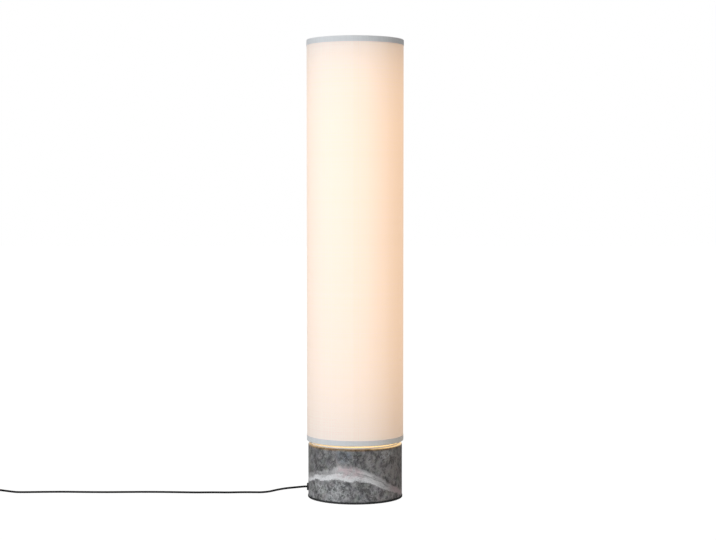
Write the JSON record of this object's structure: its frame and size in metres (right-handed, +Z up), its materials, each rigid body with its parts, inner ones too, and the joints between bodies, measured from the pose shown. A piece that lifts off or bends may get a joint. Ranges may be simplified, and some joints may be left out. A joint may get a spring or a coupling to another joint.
{
  "type": "column floor lamp",
  "caption": "Column floor lamp: a tall fabric cylinder lit from inside, held by a finial on a drum base of veined stone, with a cord, in-line dimmer and plug adapter.",
  "frame": {"origin": "centre of the lamp's underside, on the floor, measured without the free cord", "axes": "+Z up along the column; the cord leaves the drum towards -X; the fabric's seam is at +Y"},
  "size_m": [0.8769, 0.17, 0.8],
  "materials": {
    "marble": "honed",
    "foot_rubber": "matte",
    "zinc_steel": "zinc plated",
    "brass": "satin",
    "black_plastic": "fine grain",
    "button_plastic": "satin",
    "cord_black": "satin",
    "wire_red": "gloss",
    "white_nylon": "matte",
    "white_paint": "powder coat",
    "bare_aluminium": "extruded",
    "circuit_board": "solder mask",
    "led_strip": "gloss",
    "opal_acrylic": "satin",
    "shade_weave": "plain weave",
    "shade_backing": "matte",
    "edge_tape": "plain weave",
    "strap_fabric": "hook and loop",
    "spring_steel": "bright"
  },
  "bodies": {
    "base": {"marble_base": "marble", "foot_ring": "foot_rubber", "bottom_cover": "zinc_steel", "cover_screws": "zinc_steel", "cover_inserts": "brass", "cord_grommet": "black_plastic", "inner_lead": "cord_black", "cord_clamp": "white_nylon", "clamp_screws": "zinc_steel", "terminal_block": "white_nylon", "terminal_screws": "zinc_steel", "wire_positive": "wire_red", "wire_negative": "cord_black", "mast_tube": "zinc_steel", "mast_washer": "zinc_steel", "mast_nut": "zinc_steel", "reflector_plate": "white_paint", "lower_cap": "white_nylon", "led_core": "bare_aluminium", "feed_board": "circuit_board", "led_strip_front": "led_strip", "led_strip_right": "led_strip", "led_strip_back": "led_strip", "led_strip_left": "led_strip", "opal_tube": "opal_acrylic", "upper_cap": "white_nylon", "cap_nut": "zinc_steel", "top_rod": "zinc_steel", "cord_run": "cord_black", "cord_coil": "cord_black", "coil_ties": "strap_fabric", "dimmer_lower": "black_plastic", "dimmer_upper": "black_plastic", "dimmer_board": "circuit_board", "dimmer_boots": "black_plastic", "dimmer_screws": "zinc_steel", "button_spring": "spring_steel", "adapter_front": "black_plastic", "adapter_back": "black_plastic", "adapter_board": "circuit_board", "adapter_boot": "black_plastic", "adapter_pins": "brass", "pin_sleeves": "black_plastic"},
    "shade": {"shade_fabric": "shade_weave", "shade_liner": "shade_backing", "top_tape": "edge_tape", "bottom_tape": "edge_tape", "top_ring": "white_paint", "bottom_ring": "white_paint", "top_spider": "white_paint", "bottom_spider": "white_paint"},
    "finial": {"finial_knob": "brass", "finial_insert": "brass"},
    "button": {"dimmer_button": "button_plastic"}
  },
  "joints": [
    {"name": "shade_lift", "type": "slide", "parent": "base", "child": "shade", "axis": [0, 0, 1], "range_m": [0, 0.7]},
    {"name": "finial_turn", "type": "hinge", "parent": "shade", "child": "finial", "pos_m": [0, 0, 0.7712], "axis": [0, 0, 1], "continuous": true},
    {"name": "dimmer_press", "type": "slide", "parent": "base", "child": "button", "axis": [0, 0, -1], "range_m": [0, 0.002], "stiffness_N_per_m": 400, "springref_m": -0.002, "deforming": ["button_spring"]}
  ]
}
